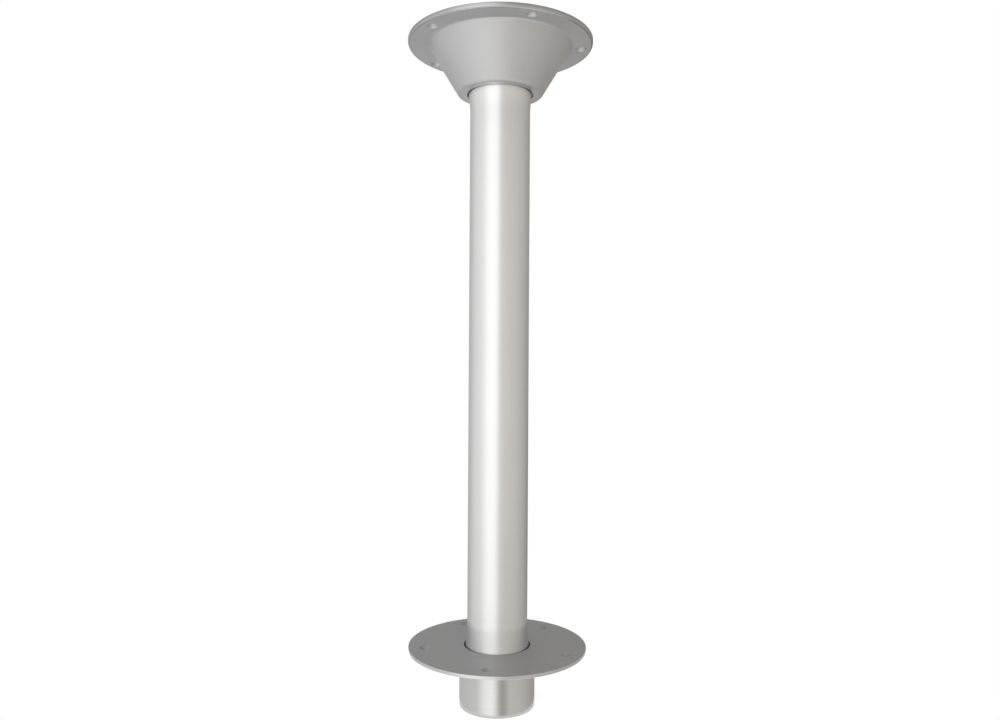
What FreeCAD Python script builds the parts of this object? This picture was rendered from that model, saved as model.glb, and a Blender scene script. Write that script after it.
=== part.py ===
"""Flush-mount table pedestal: a floor socket, a leg with tapered ends and a table socket.

Millimetres, +Z up. The origin is the centre of the floor plane, on which the floor plate lies.
Every piece is turned about the Z axis.
"""
import FreeCAD
import Part

import math
import os

# Leg: a straight tube with both ends formed
LEG_LENGTH = 647.7
LEG_D = 60.3
LEG_WALL = 2.4
LEG_END_CHAMFER = 0.6

# Taper that wedges each end of the leg in its socket
BELL_STEP = 1.85         # how far the bell stands proud of the plain tube, each side
TAPER_LENGTH = 47.0      # from the bell to the end of the leg
TAPER_ANGLE = 2.0        # degrees, each side
TAPER_GAP = 0.02         # radial, between a seated taper and its bore
BELL_DEPTH = 1.1         # how deep the bell sits inside the mouth of a socket
BELL_ROUND = 1.5
FLARE_RUN = 10.7         # along the leg, from the bell to where the flare meets the tube's line
FLARE_BEND_SHARE = 0.97  # share of the flare that the bend into the tube takes
MOUTH_RECESS = 1.3       # width of the free ring around the bell in a socket's mouth
MOUTH_RECESS_DEPTH = 5.0

# Floor socket: plate and cup in one casting
PLATE_D = 177.8
PLATE_T = 3.5
PLATE_CHAMFER = 0.4      # both edges of the plate's rim
CUP_WALL = 5.85          # beside the bell
CUP_FLOOR_T = 5.0
CUP_CHAMFER = 1.0        # the cup's lower edge
CUP_FILLET = 2.0         # between the plate and the cup, below the plate
LEG_END_ROOM = 6.9       # free depth under the leg, so that the taper can wedge

# Table socket: flange, hollow cone and inner sleeve in one casting
FLANGE_D = 185.2
FLANGE_T = 4.6
FLANGE_LOWER_ROUND = 2.0
FLANGE_UPPER_CHAMFER = 0.5
FLANGE_RIM = 21.0        # width of the flat rim outside the cone
CONE_DEPTH = 48.2        # from the flange's underside to the plane of the mouth
CONE_MOUTH_RIM = 10.1    # from the bell out to where the cone's side meets the mouth's plane
CONE_ROOT_FILLET = 2.5
CONE_LOWER_ROUND = 4.0
CONE_WALL = 5.0
SLEEVE_WALL = 4.5        # around the bore, where the pocket starts
SLEEVE_DRAFT = 1.0       # degrees, on the outside of the sleeve
POCKET_FLOOR = 10.0      # solid metal above the plane of the mouth
POCKET_ROUND = 1.6
POCKET_ROUND_LIMIT = 0.4  # at most this share of the pocket's width at its floor

# Ribs between the sleeve and the cone
RIB_COUNT = 5
RIB_T = 4.0              # at the pocket's floor
RIB_DRAFT = 1.0          # degrees, each side
RIB_DROP = 3.0           # the ribs stop this far below the table

# Countersunk screw holes
HOLE_COUNT = 5
PLATE_HOLE_INSET = 15.9  # from the plate's rim to the centre of a hole
PLATE_HOLE_D = 5.2
PLATE_SINK_D = 10.0
PLATE_HOLE_TURN = 46.4   # degrees from +X to the first hole
FLANGE_HOLE_INSET = 10.6
FLANGE_HOLE_D = 6.0
FLANGE_SINK_D = 11.5
FLANGE_HOLE_TURN = 2.3
SINK_ANGLE = 82.0        # degrees, the full angle of a screw's head
BREAK_OUT = 1.0          # how far a cutting tool runs past a face

# Diameters that follow
BELL_D = LEG_D + 2 * BELL_STEP
MOUTH_D = BELL_D + 2 * MOUTH_RECESS
CUP_D = BELL_D + 2 * CUP_WALL
CONE_MOUTH_D = BELL_D + 2 * CONE_MOUTH_RIM
CONE_ROOT_D = FLANGE_D - 2 * FLANGE_RIM

# Levels that follow
PLATE_TOP_Z = PLATE_T
LOWER_BELL_Z = PLATE_TOP_Z - BELL_DEPTH
LEG_BOTTOM_Z = LOWER_BELL_Z - TAPER_LENGTH
LEG_TOP_Z = LEG_BOTTOM_Z + LEG_LENGTH
UPPER_BELL_Z = LEG_TOP_Z - TAPER_LENGTH
CUP_FLOOR_Z = LEG_BOTTOM_Z - LEG_END_ROOM
CUP_BOTTOM_Z = CUP_FLOOR_Z - CUP_FLOOR_T
MOUTH_Z = UPPER_BELL_Z - BELL_DEPTH
FLANGE_UNDER_Z = MOUTH_Z + CONE_DEPTH
TABLE_Z = FLANGE_UNDER_Z + FLANGE_T

AXIS = FreeCAD.Vector(0, 0, 1)
ORIGIN = FreeCAD.Vector(0, 0, 0)
TAPER_SLOPE = math.tan(math.radians(TAPER_ANGLE))


def point(r, z):
    """A point of a profile: its radius and its height."""
    return FreeCAD.Vector(r, 0, z)


def revolve(edges):
    """The solid that a closed profile sweeps about the Z axis."""
    profile = Part.Face(Part.Wire(edges))
    return profile.revolve(ORIGIN, AXIS, 360)


def rounded_profile(corners):
    """Edges of a closed profile. Each corner is (r, z) or (r, z, radius of its round)."""
    count = len(corners)
    starts = []
    ends = []
    arcs = []
    for i, corner in enumerate(corners):
        here = point(corner[0], corner[1])
        before = point(*corners[i - 1][:2])
        after = point(*corners[(i + 1) % count][:2])
        radius = corner[2] if len(corner) > 2 else 0
        to_before = (before - here).normalize()
        to_after = (after - here).normalize()
        half = to_before.getAngle(to_after) / 2
        if radius == 0:
            starts.append(here)
            ends.append(here)
            arcs.append(None)
            continue
        reach = radius / math.tan(half)
        start = here + to_before * reach
        end = here + to_after * reach
        inward = (to_before + to_after).normalize()
        middle = here + inward * (radius / math.sin(half) - radius)
        starts.append(start)
        ends.append(end)
        arcs.append(Part.Arc(start, middle, end).toShape())
    edges = []
    for i in range(count):
        if arcs[i] is not None:
            edges.append(arcs[i])
        edges.append(Part.LineSegment(ends[i], starts[(i + 1) % count]).toShape())
    return edges


def bore_radius(depth):
    """Radius of a socket's tapered bore at a depth below its mouth."""
    return BELL_D / 2 + TAPER_GAP - (depth - BELL_DEPTH) * TAPER_SLOPE


def flare_bend():
    """Radius of the bend that leads the flare into the plain tube."""
    turn = math.atan(BELL_STEP / FLARE_RUN)
    reach = FLARE_BEND_SHARE * math.hypot(BELL_STEP, FLARE_RUN)
    return reach / math.tan(turn / 2)


def make_leg():
    """A tube whose two ends swell to a bell and then taper to the end."""
    tube_r = LEG_D / 2
    bell_r = BELL_D / 2
    tip_r = bell_r - TAPER_LENGTH * TAPER_SLOPE
    edge_r = tip_r + LEG_END_CHAMFER * TAPER_SLOPE
    bend_z = TAPER_LENGTH + FLARE_RUN
    middle = LEG_LENGTH / 2
    lower = revolve(rounded_profile([
        (tip_r - LEG_WALL + LEG_END_CHAMFER, 0),
        (tip_r - LEG_END_CHAMFER, 0),
        (edge_r, LEG_END_CHAMFER),
        (bell_r, TAPER_LENGTH, BELL_ROUND),
        (tube_r, bend_z, flare_bend()),
        (tube_r, middle),
        (tube_r - LEG_WALL, middle),
        (tube_r - LEG_WALL, bend_z, flare_bend()),
        (bell_r - LEG_WALL, TAPER_LENGTH, BELL_ROUND),
        (edge_r - LEG_WALL, LEG_END_CHAMFER),
    ]))
    upper = lower.mirror(point(0, middle), AXIS)
    leg = lower.fuse(upper).removeSplitter()
    leg.translate(point(0, LEG_BOTTOM_Z))
    return leg


def cut_screw_holes(solid, ring_r, hole_d, sink_d, turn, face_z, through):
    """Cut a ring of countersunk holes. The heads sit in face_z, and the holes run along through."""
    sink_depth = (sink_d - hole_d) / 2 / math.tan(math.radians(SINK_ANGLE / 2))
    direction = AXIS * math.copysign(1, through)
    for i in range(HOLE_COUNT):
        angle = math.radians(turn + 360 / HOLE_COUNT * i)
        face = FreeCAD.Vector(ring_r * math.cos(angle), ring_r * math.sin(angle), face_z)
        start = face - direction * BREAK_OUT
        drill = Part.makeCylinder(hole_d / 2, abs(through) + 2 * BREAK_OUT, start, direction)
        sink = Part.makeCone(sink_d / 2, hole_d / 2, sink_depth, face, direction)
        solid = solid.cut(drill.fuse(sink))
    return solid


def make_floor_socket():
    """The floor plate with its cup: one turned casting."""
    rim_r = PLATE_D / 2
    cup_r = CUP_D / 2
    casting = revolve(rounded_profile([
        (0, CUP_FLOOR_Z),
        (bore_radius(PLATE_TOP_Z - CUP_FLOOR_Z), CUP_FLOOR_Z),
        (bore_radius(MOUTH_RECESS_DEPTH), PLATE_TOP_Z - MOUTH_RECESS_DEPTH),
        (MOUTH_D / 2, PLATE_TOP_Z - MOUTH_RECESS_DEPTH),
        (MOUTH_D / 2, PLATE_TOP_Z),
        (rim_r - PLATE_CHAMFER, PLATE_TOP_Z),
        (rim_r, PLATE_TOP_Z - PLATE_CHAMFER),
        (rim_r, PLATE_CHAMFER),
        (rim_r - PLATE_CHAMFER, 0),
        (cup_r, 0, CUP_FILLET),
        (cup_r, CUP_BOTTOM_Z + CUP_CHAMFER),
        (cup_r - CUP_CHAMFER, CUP_BOTTOM_Z),
        (0, CUP_BOTTOM_Z),
    ]))
    return cut_screw_holes(casting, rim_r - PLATE_HOLE_INSET, PLATE_HOLE_D, PLATE_SINK_D,
                           PLATE_HOLE_TURN, PLATE_TOP_Z, -PLATE_T)


def cone_radius(z):
    """Radius of the cone's outer side at a height."""
    share = (z - MOUTH_Z) / CONE_DEPTH
    return CONE_MOUTH_D / 2 + share * (CONE_ROOT_D - CONE_MOUTH_D) / 2


def make_pocket():
    """The space between the sleeve and the cone, which opens to the table."""
    floor_z = MOUTH_Z + POCKET_FLOOR
    roof_z = TABLE_Z + BREAK_OUT
    slope = math.atan((CONE_ROOT_D - CONE_MOUTH_D) / 2 / CONE_DEPTH)
    wall = CONE_WALL / math.cos(slope)
    sleeve_r = bore_radius(POCKET_FLOOR) + SLEEVE_WALL
    sleeve_top_r = sleeve_r - (roof_z - floor_z) * math.tan(math.radians(SLEEVE_DRAFT))
    floor_r = cone_radius(floor_z) - wall
    round_r = min(POCKET_ROUND, POCKET_ROUND_LIMIT * (floor_r - sleeve_r))
    return revolve(rounded_profile([
        (sleeve_r, floor_z, round_r),
        (floor_r, floor_z, round_r),
        (cone_radius(roof_z) - wall, roof_z),
        (sleeve_top_r, roof_z),
    ]))


def make_rib():
    """One radial rib, drafted like the pocket, reaching past it on both sides."""
    low_z = MOUTH_Z + POCKET_FLOOR - BREAK_OUT
    high_z = TABLE_Z - RIB_DROP
    thin = (high_z - low_z) * math.tan(math.radians(RIB_DRAFT))
    start_r = BELL_D / 2
    corners = [
        FreeCAD.Vector(start_r, -RIB_T / 2, low_z),
        FreeCAD.Vector(start_r, RIB_T / 2, low_z),
        FreeCAD.Vector(start_r, RIB_T / 2 - thin, high_z),
        FreeCAD.Vector(start_r, thin - RIB_T / 2, high_z),
    ]
    section = Part.Face(Part.makePolygon(corners + corners[:1]))
    return section.extrude(FreeCAD.Vector(FLANGE_D / 2 - start_r, 0, 0))


def make_table_socket():
    """Flange, cone and sleeve in one casting, with ribs in the pocket that opens to the table."""
    flange_r = FLANGE_D / 2
    body = revolve(rounded_profile([
        (bore_radius(MOUTH_RECESS_DEPTH), MOUTH_Z + MOUTH_RECESS_DEPTH),
        (MOUTH_D / 2, MOUTH_Z + MOUTH_RECESS_DEPTH),
        (MOUTH_D / 2, MOUTH_Z),
        (CONE_MOUTH_D / 2, MOUTH_Z, CONE_LOWER_ROUND),
        (CONE_ROOT_D / 2, FLANGE_UNDER_Z, CONE_ROOT_FILLET),
        (flange_r, FLANGE_UNDER_Z, FLANGE_LOWER_ROUND),
        (flange_r, TABLE_Z - FLANGE_UPPER_CHAMFER),
        (flange_r - FLANGE_UPPER_CHAMFER, TABLE_Z),
        (bore_radius(TABLE_Z - MOUTH_Z), TABLE_Z),
    ]))
    pocket = make_pocket()
    rib = make_rib()
    for i in range(RIB_COUNT):
        turned = rib.copy()
        turned.rotate(ORIGIN, AXIS, FLANGE_HOLE_TURN + 360 / RIB_COUNT * (i + 0.5))
        pocket = pocket.cut(turned)
    return cut_screw_holes(body.cut(pocket), flange_r - FLANGE_HOLE_INSET, FLANGE_HOLE_D,
                           FLANGE_SINK_D, FLANGE_HOLE_TURN, FLANGE_UNDER_Z, FLANGE_T)


def main():
    os.makedirs("parts", exist_ok=True)
    pieces = {
        "floor_socket": make_floor_socket(),
        "leg": make_leg(),
        "table_socket": make_table_socket(),
    }
    for name, shape in pieces.items():
        shape.exportStep("parts/" + name + ".step")
        box = shape.optimalBoundingBox()
        print(name, "solids", len(shape.Solids), "valid", shape.isValid(),
              "volume", round(shape.Volume), "z", round(box.ZMin, 2), round(box.ZMax, 2))


main()
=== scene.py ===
"""Look of the table pedestal: its pieces, materials, studio and camera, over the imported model.

Blender works in metres, +Z up. The sizes and profiles of the pieces are in millimetres, and
those of the camera and the studio in metres.
"""

import math

import bmesh
import bpy
from mathutils import Euler, Matrix, Vector


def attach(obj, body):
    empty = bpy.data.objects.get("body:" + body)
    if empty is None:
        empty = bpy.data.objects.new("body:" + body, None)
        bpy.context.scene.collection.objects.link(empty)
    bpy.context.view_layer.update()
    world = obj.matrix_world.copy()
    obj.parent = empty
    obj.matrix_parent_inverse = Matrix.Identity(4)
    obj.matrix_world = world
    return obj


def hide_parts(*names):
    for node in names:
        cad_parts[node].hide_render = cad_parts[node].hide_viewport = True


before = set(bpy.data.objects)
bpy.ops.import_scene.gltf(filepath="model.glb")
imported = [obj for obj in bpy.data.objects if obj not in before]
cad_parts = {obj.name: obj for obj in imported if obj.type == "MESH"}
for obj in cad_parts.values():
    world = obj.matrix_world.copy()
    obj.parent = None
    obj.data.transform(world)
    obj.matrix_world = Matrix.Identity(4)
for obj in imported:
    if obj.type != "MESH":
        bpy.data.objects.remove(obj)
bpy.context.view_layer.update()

MM = 0.001
SEGMENTS = 240           # round every turned surface
DRILL_SEGMENTS = 48
ROUND_STEPS = 6
LEG_ROUND_STEPS = 10
SHARP_ANGLE = 28.0       # edges that turn by more degrees than this stay crisp
CUT_OUT = 1.0            # how far a cutter reaches past the surface that it cuts
SKIN = 0.01              # a face whose centre is this near a plane lies in it

# Leg
LEG_LENGTH = 647.7
LEG_R = 30.15
LEG_WALL = 2.4
LEG_END_CHAMFER = 0.6
BELL_R = 32.0
BELL_ROUND = 1.5
FLARE_RUN = 10.7
FLARE_BEND_SHARE = 0.97
TAPER_LENGTH = 47.0
TAPER_ANGLE = 2.0
TAPER_GAP = 0.02
BELL_DEPTH = 1.1
MOUTH_R = 33.3           # the free ring around the bell in both sockets' mouths
MOUTH_RECESS_DEPTH = 5.0
MOUTH_EDGE = 0.15

# Floor socket
PLATE_R = 88.9
PLATE_T = 3.5
PLATE_EDGE = 0.4
CUP_R = 37.85
CUP_EDGE = 1.0
CUP_FILLET = 2.0
CUP_FLOOR_Z = -51.5
CUP_BOTTOM_Z = -56.5
CUP_FLOOR_ROUND = 0.8
PLATE_HOLE_RING = 73.0
PLATE_HOLE_R = 2.6
PLATE_SINK_R = 5.0
PLATE_SEAT_MARGIN = 1.0  # how far around a countersink its faces are still looked for
PLATE_HOLE_TURN = 46.4

# Table socket
FLANGE_R = 92.6
FLANGE_LOWER_ROUND = 2.0
FLANGE_UPPER_EDGE = 0.5
CONE_MOUTH_R = 42.1
CONE_ROOT_R = 71.6
CONE_LOWER_ROUND = 4.0
CONE_ROOT_FILLET = 2.5
CONE_WALL = 5.0
SLEEVE_WALL = 4.5
SLEEVE_DRAFT = 1.0
SLEEVE_TOP_ROUND = 0.3
POCKET_FLOOR = 10.0
POCKET_ROUND = 1.6
RIB_COUNT = 5
RIB_T = 4.0
RIB_DRAFT = 1.0
RIB_DROP = 3.0
FLANGE_HOLE_RING = 82.0
FLANGE_HOLE_R = 3.0
FLANGE_SINK_R = 5.75
FLANGE_HOLE_TURN = 2.3
HOLE_COUNT = 5
SINK_HALF_ANGLE = 41.0

# Levels
PLATE_TOP_Z = PLATE_T
LEG_BOTTOM_Z = PLATE_TOP_Z - BELL_DEPTH - TAPER_LENGTH
LEG_TOP_Z = LEG_BOTTOM_Z + LEG_LENGTH
MOUTH_Z = LEG_TOP_Z - TAPER_LENGTH - BELL_DEPTH
FLANGE_UNDER_Z = 603.2
TABLE_Z = 607.8

TAPER_SLOPE = math.tan(math.radians(TAPER_ANGLE))

# Camera, worked out from the outlines of the two round plates and the tube
IMAGE_WIDTH_PX = 1000
IMAGE_HEIGHT_PX = 720
SENSOR_WIDTH_MM = 36.0
FOCAL_PX = 815.2
PRINCIPAL_X_PX = 498.65
PRINCIPAL_Y_PX = 371.75
CAMERA_DISTANCE = 0.8205
CAMERA_HEIGHT = 0.2771
CAMERA_ROLL = -0.0058


# Shapes

def rounded(corners, steps=ROUND_STEPS):
    """Points of a closed profile. Each corner is (r, z) or (r, z, radius of its round)."""
    points = []
    count = len(corners)
    for i, corner in enumerate(corners):
        here = Vector(corner[:2])
        if len(corner) == 2:
            points.append(here)
            continue
        to_before = (Vector(corners[i - 1][:2]) - here).normalized()
        to_after = (Vector(corners[(i + 1) % count][:2]) - here).normalized()
        half = to_before.angle(to_after) / 2
        inward = (to_before + to_after).normalized()
        centre = here + inward * corner[2] / math.sin(half)
        start = here + to_before * corner[2] / math.tan(half) - centre
        turn = math.pi - 2 * half
        if start.cross(here - centre) < 0:
            turn = -turn
        for k in range(steps + 1):
            a = turn * k / steps
            spun = Vector((start.x * math.cos(a) - start.y * math.sin(a),
                           start.x * math.sin(a) + start.y * math.cos(a)))
            points.append(centre + spun)
    return points


def bore_radius(depth):
    """Radius of a socket's tapered bore at a depth below its mouth."""
    return BELL_R + TAPER_GAP - (depth - BELL_DEPTH) * TAPER_SLOPE


def leg_wall(offset, tip_r):
    """Corners of one side of the tube's wall, from its lower tip to its upper one."""
    step = BELL_R - LEG_R
    half_turn = math.atan(step / FLARE_RUN) / 2
    bend = FLARE_BEND_SHARE * math.hypot(step, FLARE_RUN) / math.tan(half_turn)
    edge_r = BELL_R - offset - (TAPER_LENGTH - LEG_END_CHAMFER) * TAPER_SLOPE
    corners = [(tip_r, 0), (edge_r, LEG_END_CHAMFER), (BELL_R - offset, TAPER_LENGTH, BELL_ROUND),
               (LEG_R - offset, TAPER_LENGTH + FLARE_RUN, bend)]
    lower = [(c[0], LEG_BOTTOM_Z + c[1]) + c[2:] for c in corners]
    upper = [(c[0], LEG_TOP_Z - c[1]) + c[2:] for c in reversed(corners)]
    return lower + upper


def lathe(name, profile, segments=SEGMENTS):
    """An object whose closed surface the profile sweeps about the Z axis."""
    shape = bmesh.new()
    rings = []
    for r, z in profile:
        if r < 1e-6:
            rings.append([shape.verts.new((0, 0, z * MM))] * segments)
            continue
        rings.append([shape.verts.new((r * MM * math.cos(math.tau * k / segments),
                                       r * MM * math.sin(math.tau * k / segments), z * MM))
                      for k in range(segments)])
    for i, ring in enumerate(rings):
        after = rings[(i + 1) % len(rings)]
        for k in range(segments):
            n = (k + 1) % segments
            loop = []
            for vert in (ring[k], ring[n], after[n], after[k]):
                if vert not in loop:
                    loop.append(vert)
            if len(loop) > 2:
                shape.faces.new(loop)
    bmesh.ops.recalc_face_normals(shape, faces=shape.faces)
    return make_object(name, shape)


def make_object(name, shape):
    mesh = bpy.data.meshes.new(name)
    shape.to_mesh(mesh)
    shape.free()
    made = bpy.data.objects.new(name, mesh)
    bpy.context.scene.collection.objects.link(made)
    return made


def apply_modifiers(target):
    """Put what the modifiers make into the mesh itself."""
    graph = bpy.context.evaluated_depsgraph_get()
    before = target.data
    target.data = bpy.data.meshes.new_from_object(target.evaluated_get(graph))
    target.modifiers.clear()
    target.data.name = target.name
    bpy.data.meshes.remove(before)


def cut(target, cutter):
    """Take the cutter out of the target, and delete it."""
    tool = target.modifiers.new("cut", "BOOLEAN")
    tool.operation = "DIFFERENCE"
    tool.solver = "EXACT"
    tool.object = cutter
    apply_modifiers(target)
    bpy.data.objects.remove(cutter)


def screw_holes(ring_r, hole_r, sink_r, turn, face_z, depth, down):
    """One object with the shapes of all the countersunk holes of a ring."""
    sink_depth = (sink_r - hole_r) / math.tan(math.radians(SINK_HALF_ANGLE))
    sign = -1 if down else 1
    start_z = face_z - sign * CUT_OUT
    end_z = face_z + sign * (depth + CUT_OUT)
    profile = [(0, start_z), (sink_r, start_z), (sink_r, face_z),
               (hole_r, face_z + sign * sink_depth), (hole_r, end_z), (0, end_z)]
    drill = lathe("drill", profile, DRILL_SEGMENTS)
    holes = bmesh.new()
    for i in range(HOLE_COUNT):
        angle = math.radians(turn) + math.tau * i / HOLE_COUNT
        copy = drill.data.copy()
        copy.transform(Matrix.Translation((ring_r * MM * math.cos(angle),
                                           ring_r * MM * math.sin(angle), 0)))
        holes.from_mesh(copy)
        bpy.data.meshes.remove(copy)
    bpy.data.objects.remove(drill)
    return make_object("holes", holes)


def finish_piece(piece, node, materials, zone):
    """Give each face its material, smooth the rounds and tie the piece to the frame.

    zone(r, z) gives the number of a face's material by where its centre is.
    """
    for material in materials:
        piece.data.materials.append(material)
    for face in piece.data.polygons:
        centre = face.center / MM
        face.material_index = zone(math.hypot(centre.x, centre.y), centre.z)
        face.use_smooth = True
    piece.data.set_sharp_from_angle(angle=math.radians(SHARP_ANGLE))
    normals = piece.modifiers.new("normals", "WEIGHTED_NORMAL")
    normals.keep_sharp = True
    apply_modifiers(piece)
    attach(piece, "root")
    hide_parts(node)


# Materials

# Nearly all values of a noise lie in these spans
LINE_SPAN = (0.36, 0.64)
GRAIN_SPAN = (0.34, 0.66)
PLAIN = (1.0, 1.0, 1.0)


class Graph:
    """A short way to build a node tree."""

    def __init__(self, tree):
        self.tree = tree

    def add(self, kind, settings=None, **inputs):
        node = self.tree.nodes.new(kind)
        for key, value in (settings or {}).items():
            setattr(node, key, value)
        for key, value in inputs.items():
            self.put(node.inputs[key.replace("_", " ")], value)
        return node

    def put(self, socket, value):
        if isinstance(value, bpy.types.NodeSocket):
            self.tree.links.new(value, socket)
        else:
            socket.default_value = value

    def place(self):
        return self.add("ShaderNodeTexCoord").outputs["Object"]

    def maths(self, operation, a, b=0.0):
        node = self.add("ShaderNodeMath", {"operation": operation})
        self.put(node.inputs[0], a)
        self.put(node.inputs[1], b)
        return node.outputs[0]

    def noise(self, vector, scale=1.0, detail=2.0, roughness=0.5):
        return self.add("ShaderNodeTexNoise", Vector=vector, Scale=scale, Detail=detail,
                        Roughness=roughness).outputs["Fac"]

    def scaled(self, vector, x, y, z):
        node = self.add("ShaderNodeVectorMath", {"operation": "MULTIPLY"})
        self.put(node.inputs[0], vector)
        self.put(node.inputs[1], (x, y, z))
        return node.outputs[0]

    def spread(self, value, low, high, from_low=0.0, from_high=1.0):
        node = self.add("ShaderNodeMapRange", Value=value)
        node.inputs["From Min"].default_value = from_low
        node.inputs["From Max"].default_value = from_high
        node.inputs["To Min"].default_value = low
        node.inputs["To Max"].default_value = high
        return node.outputs["Result"]

    def blend(self, share, a, b):
        node = self.add("ShaderNodeMix", {"data_type": "RGBA"})
        self.put(node.inputs[0], share)
        self.put(node.inputs[6], a)
        self.put(node.inputs[7], b)
        return node.outputs[2]


def grey(value, tint=PLAIN):
    return (value * tint[0], value * tint[1], value * tint[2], 1)


def new_material(name):
    material = bpy.data.materials.new(name)
    material.use_nodes = True
    material.node_tree.nodes.clear()
    return material, Graph(material.node_tree)


def put_metal_shader(g, colour, roughness, normal, anisotropic=0.0):
    shader = g.add("ShaderNodeBsdfPrincipled")
    g.put(shader.inputs["Base Color"], colour)
    g.put(shader.inputs["Roughness"], roughness)
    g.put(shader.inputs["Normal"], normal)
    shader.inputs["Metallic"].default_value = 1.0
    if anisotropic:
        shader.inputs["Anisotropic"].default_value = anisotropic
        around = g.add("ShaderNodeTangent", {"direction_type": "RADIAL", "axis": "Z"})
        g.put(shader.inputs["Tangent"], around.outputs[0])
    out = g.add("ShaderNodeOutputMaterial")
    g.put(out.inputs["Surface"], shader.outputs[0])


def bump(g, height, distance):
    return g.add("ShaderNodeBump", Height=height, Strength=1.0, Distance=distance).outputs[0]


def lined_metal(name, dark, light, rough, bump_depth, across, tint=PLAIN, rough_spread=0.05,
                painted_foot_light=None):
    """Metal with fine lines around the axis: across is how many line scales there are to a metre.

    Its last argument, when given, is painted light towards the lower end: (height below which the
    metal is fully brighter, height where that ends, gain).
    """
    material, g = new_material(name)
    place = g.place()
    fine = g.noise(g.scaled(place, 14, 14, across), detail=4.0, roughness=0.65)
    coarse = g.noise(g.scaled(place, 6, 6, across / 9))
    broad = g.noise(place, scale=14.0, detail=3.0)
    lines = g.maths("ADD", g.maths("MULTIPLY", fine, 0.6), g.maths("MULTIPLY", coarse, 0.4))
    tone = g.maths("ADD", g.maths("MULTIPLY", lines, 0.5), g.maths("MULTIPLY", broad, 0.5))
    share = g.spread(tone, 0, 1, *LINE_SPAN)
    colour = g.blend(share, grey(dark, tint), grey(light, tint))
    if painted_foot_light:
        full, end, gain = painted_foot_light
        height = g.add("ShaderNodeSeparateXYZ", Vector=place).outputs[2]
        bright = g.blend(share, grey(dark * gain, tint), grey(light * gain, tint))
        colour = g.blend(g.spread(height, 1, 0, full, end), colour, bright)
    roughness = g.spread(lines, rough - rough_spread, rough + rough_spread, *LINE_SPAN)
    put_metal_shader(g, colour, roughness, bump(g, lines, bump_depth), anisotropic=0.2)
    return material


def turned_metal(name, dark, light, rough, bump_depth, rings, tint=PLAIN):
    """Machined metal: rings of the tool on flat faces and lines around on upright ones."""
    material, g = new_material(name)
    place = g.place()
    parts = g.add("ShaderNodeSeparateXYZ", Vector=place)
    flat = g.add("ShaderNodeCombineXYZ")
    g.put(flat.inputs[0], parts.outputs[0])
    g.put(flat.inputs[1], parts.outputs[1])
    length = g.add("ShaderNodeVectorMath", {"operation": "LENGTH"})
    g.put(length.inputs[0], flat.outputs[0])
    wound = g.add("ShaderNodeCombineXYZ")
    g.put(wound.inputs[0], g.maths("MULTIPLY", length.outputs["Value"], rings))
    g.put(wound.inputs[1], g.maths("MULTIPLY", parts.outputs[2], rings))
    lines = g.noise(wound.outputs[0], detail=3.0, roughness=0.6)
    broad = g.noise(place, scale=30.0, detail=3.0)
    tone = g.maths("ADD", g.maths("MULTIPLY", lines, 0.6), g.maths("MULTIPLY", broad, 0.4))
    colour = g.blend(g.spread(tone, 0, 1, *LINE_SPAN), grey(dark, tint), grey(light, tint))
    roughness = g.spread(tone, rough - 0.06, rough + 0.06, *LINE_SPAN)
    put_metal_shader(g, colour, roughness, bump(g, lines, bump_depth), anisotropic=0.4)
    return material


def cast_metal(name, dark, light, rough, bump_depth, grain):
    """Cast and blasted metal: a fine even grain, soft mottling and a few shallow pits."""
    material, g = new_material(name)
    place = g.place()
    fine = g.noise(place, scale=grain, detail=3.0, roughness=0.6)
    mottle = g.noise(place, scale=28.0, detail=4.0, roughness=0.6)
    cells = g.add("ShaderNodeTexVoronoi", Vector=place, Scale=260.0)
    pits = g.spread(cells.outputs["Distance"], 0, 1, 0.06, 0.22)
    tone = g.maths("ADD", g.maths("MULTIPLY", fine, 0.45), g.maths("MULTIPLY", mottle, 0.55))
    colour = g.blend(g.spread(tone, 0, 1, *GRAIN_SPAN), grey(dark), grey(light))
    roughness = g.spread(tone, rough - 0.05, rough + 0.07, *GRAIN_SPAN)
    height = g.maths("ADD", fine, g.maths("MULTIPLY", pits, 0.35))
    put_metal_shader(g, colour, roughness, bump(g, height, bump_depth))
    return material


# Pieces

def make_leg():
    tip_r = BELL_R - TAPER_LENGTH * TAPER_SLOPE
    outer = leg_wall(0, tip_r - LEG_END_CHAMFER)
    inner = leg_wall(LEG_WALL, tip_r - LEG_WALL + LEG_END_CHAMFER)
    leg = lathe("leg_tube", rounded(outer + list(reversed(inner)), LEG_ROUND_STEPS))
    satin, bore, cut_end = range(3)

    def zone(r, z):
        if z < LEG_BOTTOM_Z + LEG_END_CHAMFER or z > LEG_TOP_Z - LEG_END_CHAMFER:
            return cut_end
        from_end = min(z - LEG_BOTTOM_Z, LEG_TOP_Z - z)
        wall_middle = LEG_R - LEG_WALL / 2
        if from_end < TAPER_LENGTH:
            wall_middle = BELL_R - LEG_WALL / 2 - (TAPER_LENGTH - from_end) * TAPER_SLOPE
        return satin if r > wall_middle else bore

    finish_piece(leg, "leg", [
        # Painted light on the tube's foot: its colour is 17 per cent lighter below a height of 24
        # mm and fades back by 34 mm.
        lined_metal("satin_tube", 0.62, 0.64, rough=0.30, bump_depth=0.000003, across=2600,
                    tint=(1.0, 0.995, 0.99), rough_spread=0.02, painted_foot_light=(0.024, 0.034, 1.17)),
        lined_metal("drawn_bore", 0.46, 0.58, rough=0.38, bump_depth=0.00004, across=700),
        turned_metal("cut_end", 0.66, 0.78, rough=0.28, bump_depth=0.00003, rings=2400),
    ], zone)


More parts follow.
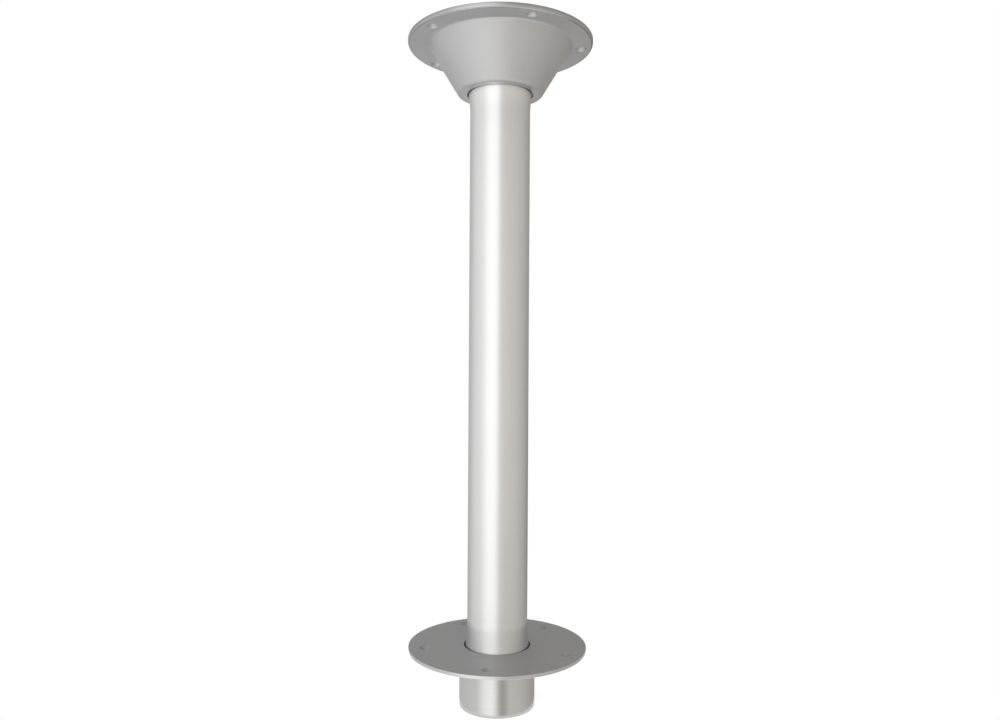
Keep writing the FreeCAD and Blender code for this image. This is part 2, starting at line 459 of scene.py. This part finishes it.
def make_floor_socket():
    profile = rounded([
        (0, CUP_FLOOR_Z),
        (bore_radius(PLATE_TOP_Z - CUP_FLOOR_Z), CUP_FLOOR_Z, CUP_FLOOR_ROUND),
        (bore_radius(MOUTH_RECESS_DEPTH), PLATE_TOP_Z - MOUTH_RECESS_DEPTH),
        (MOUTH_R, PLATE_TOP_Z - MOUTH_RECESS_DEPTH, MOUTH_EDGE),
        (MOUTH_R, PLATE_TOP_Z, MOUTH_EDGE),
        (PLATE_R, PLATE_TOP_Z, PLATE_EDGE),
        (PLATE_R, 0, PLATE_EDGE),
        (CUP_R, 0, CUP_FILLET),
        (CUP_R, CUP_BOTTOM_Z, CUP_EDGE),
        (0, CUP_BOTTOM_Z),
    ])
    socket = lathe("floor_socket_casting", profile)
    cut(socket, screw_holes(PLATE_HOLE_RING, PLATE_HOLE_R, PLATE_SINK_R, PLATE_HOLE_TURN,
                            PLATE_TOP_Z, PLATE_T, True))

    matt, turned, bored, seat = range(4)

    def zone(r, z):
        at_hole = abs(r - PLATE_HOLE_RING) < PLATE_SINK_R + PLATE_SEAT_MARGIN
        if at_hole and SKIN < z < PLATE_TOP_Z - SKIN:
            return seat
        if z > PLATE_TOP_Z - SKIN and MOUTH_R + MOUTH_EDGE < r < PLATE_R - PLATE_EDGE / 2:
            return matt
        if r < CUP_R - CUP_EDGE and z > CUP_BOTTOM_Z + CUP_EDGE:
            return bored
        return turned

    finish_piece(socket, "floor_socket", [
        cast_metal("plate_face", 0.485, 0.533, rough=0.61, bump_depth=0.00005, grain=900.0),
        turned_metal("turned_cup", 0.485, 0.535, rough=0.22, bump_depth=0.00001, rings=2200,
                     tint=(1.0, 0.995, 0.985)),
        turned_metal("bored_cup", 0.52, 0.62, rough=0.36, bump_depth=0.00004, rings=1600),
        # The countersinks and holes are darker than the plate's face: painted shade inside them.
        cast_metal("drilled_seat_painted_shade", 0.42, 0.47, rough=0.50, bump_depth=0.00003, grain=1800.0),
    ], zone)


def rib_block():
    """All the ribs as one object, each a drafted block from the sleeve out past the cone."""
    ribs = bmesh.new()
    low = MOUTH_Z + POCKET_FLOOR - CUT_OUT
    high = TABLE_Z - RIB_DROP
    foot = RIB_T / 2
    head = foot - (high - low) * math.tan(math.radians(RIB_DRAFT))
    for i in range(RIB_COUNT):
        angle = math.radians(FLANGE_HOLE_TURN) + math.tau * (i + 0.5) / RIB_COUNT
        turn = Matrix.Rotation(angle, 3, "Z")
        corners = []
        for r in (BELL_R, FLANGE_R):
            for half, z in ((-foot, low), (foot, low), (head, high), (-head, high)):
                corners.append(ribs.verts.new(turn @ Vector((r * MM, half * MM, z * MM))))
        a, b = corners[:4], corners[4:]
        ribs.faces.new(list(reversed(a)))
        ribs.faces.new(b)
        for k in range(4):
            n = (k + 1) % 4
            ribs.faces.new((a[k], a[n], b[n], b[k]))
    bmesh.ops.recalc_face_normals(ribs, faces=ribs.faces)
    return make_object("ribs", ribs)


def cone_radius(z):
    share = (z - MOUTH_Z) / (FLANGE_UNDER_Z - MOUTH_Z)
    return CONE_MOUTH_R + share * (CONE_ROOT_R - CONE_MOUTH_R)


def make_table_socket():
    body = lathe("table_socket_casting", rounded([
        (bore_radius(MOUTH_RECESS_DEPTH), MOUTH_Z + MOUTH_RECESS_DEPTH),
        (MOUTH_R, MOUTH_Z + MOUTH_RECESS_DEPTH, MOUTH_EDGE),
        (MOUTH_R, MOUTH_Z, 2 * MOUTH_EDGE),
        (CONE_MOUTH_R, MOUTH_Z, CONE_LOWER_ROUND),
        (CONE_ROOT_R, FLANGE_UNDER_Z, CONE_ROOT_FILLET),
        (FLANGE_R, FLANGE_UNDER_Z, FLANGE_LOWER_ROUND),
        (FLANGE_R, TABLE_Z, FLANGE_UPPER_EDGE),
        (bore_radius(TABLE_Z - MOUTH_Z), TABLE_Z, SLEEVE_TOP_ROUND),
    ]))
    floor_z = MOUTH_Z + POCKET_FLOOR
    roof_z = TABLE_Z + CUT_OUT
    cone_slope = (CONE_ROOT_R - CONE_MOUTH_R) / (FLANGE_UNDER_Z - MOUTH_Z)
    wall = CONE_WALL / math.cos(math.atan(cone_slope))
    sleeve_r = bore_radius(POCKET_FLOOR) + SLEEVE_WALL
    sleeve_top_r = sleeve_r - (roof_z - floor_z) * math.tan(math.radians(SLEEVE_DRAFT))
    pocket = lathe("pocket", rounded([
        (sleeve_r, floor_z, POCKET_ROUND),
        (cone_radius(floor_z) - wall, floor_z, POCKET_ROUND),
        (cone_radius(roof_z) - wall, roof_z),
        (sleeve_top_r, roof_z),
    ]))
    cut(pocket, rib_block())
    cut(body, pocket)
    cut(body, screw_holes(FLANGE_HOLE_RING, FLANGE_HOLE_R, FLANGE_SINK_R, FLANGE_HOLE_TURN,
                          FLANGE_UNDER_Z, TABLE_Z - FLANGE_UNDER_Z, False))

    blasted, faced, bored, rim, lip = range(5)

    def zone(r, z):
        if r > FLANGE_R - FLANGE_LOWER_ROUND - SKIN:
            return rim
        if r < MOUTH_R + MOUTH_EDGE and z < MOUTH_Z + MOUTH_RECESS_DEPTH + SKIN:
            return bored
        if z < MOUTH_Z + SKIN:
            return lip
        if z > TABLE_Z - SKIN:
            return faced
        if r < bore_radius(z - MOUTH_Z) + SLEEVE_TOP_ROUND:
            return bored
        return blasted

    finish_piece(body, "table_socket", [
        cast_metal("blasted_casting", 0.475, 0.53, rough=0.52, bump_depth=0.00005, grain=1300.0),
        turned_metal("faced_flange", 0.58, 0.68, rough=0.34, bump_depth=0.00004, rings=1500),
        # The bore's colour is much lighter than the other machined faces: painted light that lifts
        # the shade in the gap around the tube at the mouth.
        turned_metal("bored_sleeve_painted_light", 0.84, 0.92, rough=0.33, bump_depth=0.00003, rings=2000),
        # The rim's colour is darker than the casting's: painted shade on the flange's rim.
        turned_metal("turned_rim_painted_shade", 0.38, 0.43, rough=0.28, bump_depth=0.00002, rings=2000),
        turned_metal("turned_lip", 0.58, 0.64, rough=0.26, bump_depth=0.00001, rings=2000),
    ], zone)


# Studio

FLOOR_GAP = 0.0002
FLOOR_Z = CUP_BOTTOM_Z * MM - FLOOR_GAP
# The metal mirrors the floor too. It is this small so that the tube still mirrors the walls.
FLOOR_RADIUS = 0.21
FLOOR_TONE = 0.5
FLOOR_GLOW = 0.8         # what makes the floor white to the camera and in reflections
AMBIENT = 0.55           # the world as a light, which is 1 where it is seen


def seen_directly(g):
    """1 for rays from the camera and for those that metal or glass send on."""
    path = g.add("ShaderNodeLightPath")
    share = g.maths("MAXIMUM", path.outputs["Is Camera Ray"], path.outputs["Is Glossy Ray"])
    return g.maths("MAXIMUM", share, path.outputs["Is Transmission Ray"])


def make_world():
    world = bpy.data.worlds.new("studio")
    bpy.context.scene.world = world
    world.use_nodes = True
    world.node_tree.nodes.clear()
    g = Graph(world.node_tree)
    ambient = g.add("ShaderNodeBackground", Color=grey(1), Strength=AMBIENT)
    white = g.add("ShaderNodeBackground", Color=grey(1), Strength=1.0)
    mix = g.add("ShaderNodeMixShader")
    g.put(mix.inputs[0], seen_directly(g))
    g.put(mix.inputs[1], ambient.outputs[0])
    g.put(mix.inputs[2], white.outputs[0])
    out = g.add("ShaderNodeOutputWorld")
    g.put(out.inputs["Surface"], mix.outputs[0])


def make_floor():
    shape = bmesh.new()
    bmesh.ops.create_circle(shape, cap_ends=True, segments=96, radius=FLOOR_RADIUS)
    floor = make_object("floor", shape)
    floor.location.z = FLOOR_Z
    material, g = new_material("floor_paper")
    paper = g.add("ShaderNodeBsdfDiffuse", Color=grey(FLOOR_TONE))
    glow = g.add("ShaderNodeEmission", Color=grey(1))
    g.put(glow.inputs["Strength"], g.maths("MULTIPLY", seen_directly(g), FLOOR_GLOW))
    both = g.add("ShaderNodeAddShader")
    g.put(both.inputs[0], paper.outputs[0])
    g.put(both.inputs[1], glow.outputs[0])
    below = g.maths("MULTIPLY", g.add("ShaderNodeNewGeometry").outputs["Backfacing"],
                    g.add("ShaderNodeLightPath").outputs["Is Camera Ray"])
    mix = g.add("ShaderNodeMixShader")
    g.put(mix.inputs[0], below)
    g.put(mix.inputs[1], both.outputs[0])
    g.put(mix.inputs[2], g.add("ShaderNodeBsdfTransparent").outputs[0])
    out = g.add("ShaderNodeOutputMaterial")
    g.put(out.inputs["Surface"], mix.outputs[0])
    floor.data.materials.append(material)


SURROUND_RADIUS = 2.2
# Height of each row of the walls, in metres, and the share of the wall's tone that it has
SURROUND_ROWS = ((-1.6, 0.55), (-0.8, 0.92), (0.0, 1.0), (1.45, 1.04), (1.6, 0.35), (1.8, 0.25))
# Height, radius and tone of the ceiling and of a bright disc far below the floor
SURROUND_DISCS = ((1.8, 2.64, 0.42), (-1.0, 0.9, 1.50))
# Azimuth in degrees from the camera's side, to the right, how bright the wall is there, and how
# much of the warm tint it has. KEY_TONES and BACK_TONES are written the same way.
SURROUND_TONES = ((6, 0.95, 1), (40, 0.88, 1), (70, 0.82, 1), (100, 0.68, 1), (150, 0.40, 1),
                  (180, 0.57, 0), (210, 0.62, 0), (230, 0.70, 0), (255, 1.00, 0), (300, 1.20, 0))
# A bright wall at the front left, which is the tube's highlight
KEY_TONES = ((-62, 1.20, 0), (-50, 1.45, 0), (-40, 1.65, 0), (-2, 1.65, 0))
KEY_RADIUS = 1.9
# A low panel close around the cup, which only the cup shows. To the right it goes up to a bright
# band, down to a dark strip at the front, up to the right side and down towards the back. Each
# of these soft steps is the azimuth of its middle, its width in degrees and the tone after it.
PANEL_START_TONE = 0.64
PANEL_STEPS = ((-83, 86, 0.97), (-28, 26, 1.58), (0, 18, 0.62), (17, 14, 0.91), (67, 84, 0.46),
               (185, 120, PANEL_START_TONE))
# The warm tint comes on at the front and goes off at the back, in the same way
PANEL_WARM_STEPS = ((1.5, 3, 1), (152, 25, 0))
# Azimuths of its corners, all the way round. They are close together at the front, where the
# tones change fast, and it has wide flat sides elsewhere.
PANEL_AZIMUTHS = (*range(-118, -46, 18), *range(-46, 41, 3), *range(41, 117, 19),
                  *range(117, 243, 25))
PANEL_TOP_Z = -0.0015    # just under the plate
PANEL_ROWS = ((FLOOR_Z, 1.0), (PANEL_TOP_Z, 1.0))
PANEL_RADIUS = 0.045
# A darker panel behind at the right, which shows in that side of the flange
BACK_TONES = ((138, 0.40, 1), (146, 0.30, 1), (172, 0.30, 1), (177, 0.45, 1))
BACK_ROWS = ((-0.45, 1.0), (0.12, 1.0))
BACK_RADIUS = 1.8
WARM_TINT = (1.0, 0.955, 0.90)
DISC_CORNERS = 24


def at_azimuth(azimuth, radius, z):
    a = math.radians(azimuth)
    return (radius * math.sin(a), -radius * math.cos(a), z)


def soft_steps(value, steps, azimuth):
    """What a value has come to at an azimuth, after steps of (middle, width, value after)."""
    for middle, width, after in steps:
        share = min(max((azimuth - middle) / width + 0.5, 0), 1)
        value += (after - value) * share * share * (3 - 2 * share)
    return value


def panel_tones():
    """The low panel's tones at its corners, as the other walls' are written."""
    return [(azimuth, soft_steps(PANEL_START_TONE, PANEL_STEPS, azimuth),
             soft_steps(0, PANEL_WARM_STEPS, azimuth))
            for azimuth in PANEL_AZIMUTHS]


def make_reflection_wall(name, radius, tones, wall_rows, discs=()):
    """A curved wall that only reflections show, with a colour for each azimuth, and flat discs."""
    shape = bmesh.new()
    layer = shape.loops.layers.float_color.new("tone")
    rows = [[shape.verts.new(at_azimuth(tone[0], radius, row[0])) for tone in tones]
            for row in wall_rows]
    for k in range(len(wall_rows) - 1):
        for i in range(len(tones) - 1):
            corners = ((k, i), (k, i + 1), (k + 1, i + 1), (k + 1, i))
            face = shape.faces.new([rows[row][column] for row, column in corners])
            for loop, (row, column) in zip(face.loops, corners):
                tone, warmth = tones[column][1:]
                tint = [1 + warmth * (c - 1) for c in WARM_TINT]
                loop[layer] = grey(tone * wall_rows[row][1], tint)
    for disc_z, disc_r, tone in discs:
        face = shape.faces.new([
            shape.verts.new(at_azimuth(k * 360 / DISC_CORNERS, disc_r, disc_z))
            for k in range(DISC_CORNERS)])
        for loop in face.loops:
            loop[layer] = grey(tone)
    wall = make_object(name, shape)
    material, g = new_material(name + "_grey")
    painted = g.add("ShaderNodeVertexColor", {"layer_name": "tone"})
    glow = g.add("ShaderNodeEmission")
    g.put(glow.inputs["Color"], painted.outputs["Color"])
    out = g.add("ShaderNodeOutputMaterial")
    g.put(out.inputs["Surface"], glow.outputs[0])
    material.cycles.emission_sampling = "NONE"
    wall.data.materials.append(material)
    wall.visible_camera = False
    wall.visible_diffuse = False
    wall.visible_shadow = False
    wall.visible_transmission = False


def make_softbox(name, azimuth, distance, width, height, centre_z, radiance):
    """A soft lamp that faces the leg. Azimuth is as for the walls."""
    data = bpy.data.lights.new(name, "AREA")
    data.shape = "RECTANGLE"
    data.size = width
    data.size_y = height
    data.energy = radiance * math.pi * width * height
    lamp = bpy.data.objects.new(name, data)
    lamp.location = at_azimuth(azimuth, distance, centre_z)
    ahead = Vector((0, 0, centre_z)) - lamp.location
    lamp.rotation_euler = ahead.to_track_quat("-Z", "Y").to_euler()
    bpy.context.scene.collection.objects.link(lamp)
    lamp.visible_camera = False
    lamp.visible_glossy = False


def make_camera():
    data = bpy.data.cameras.new("camera")
    data.sensor_width = SENSOR_WIDTH_MM
    data.lens = FOCAL_PX * SENSOR_WIDTH_MM / IMAGE_WIDTH_PX
    data.shift_x = (IMAGE_WIDTH_PX / 2 - PRINCIPAL_X_PX) / IMAGE_WIDTH_PX
    data.shift_y = (PRINCIPAL_Y_PX - IMAGE_HEIGHT_PX / 2) / IMAGE_WIDTH_PX
    camera = bpy.data.objects.new("camera", data)
    camera.location = (0, -CAMERA_DISTANCE, CAMERA_HEIGHT)
    camera.rotation_euler = Euler((math.pi / 2, CAMERA_ROLL, 0))
    bpy.context.scene.collection.objects.link(camera)
    bpy.context.scene.camera = camera


make_leg()
make_floor_socket()
make_table_socket()
make_world()
make_floor()
make_reflection_wall("surround", SURROUND_RADIUS, SURROUND_TONES, SURROUND_ROWS, SURROUND_DISCS)
make_reflection_wall("key_face", KEY_RADIUS, KEY_TONES, SURROUND_ROWS)
make_reflection_wall("low_panel", PANEL_RADIUS, panel_tones(), PANEL_ROWS)
make_reflection_wall("back_panel", BACK_RADIUS, BACK_TONES, BACK_ROWS)
make_softbox("key", azimuth=-29, distance=1.6, width=1.75, height=1.5, centre_z=0.45,
             radiance=1.5)
make_camera()
bpy.context.scene.view_settings.view_transform = "Standard"
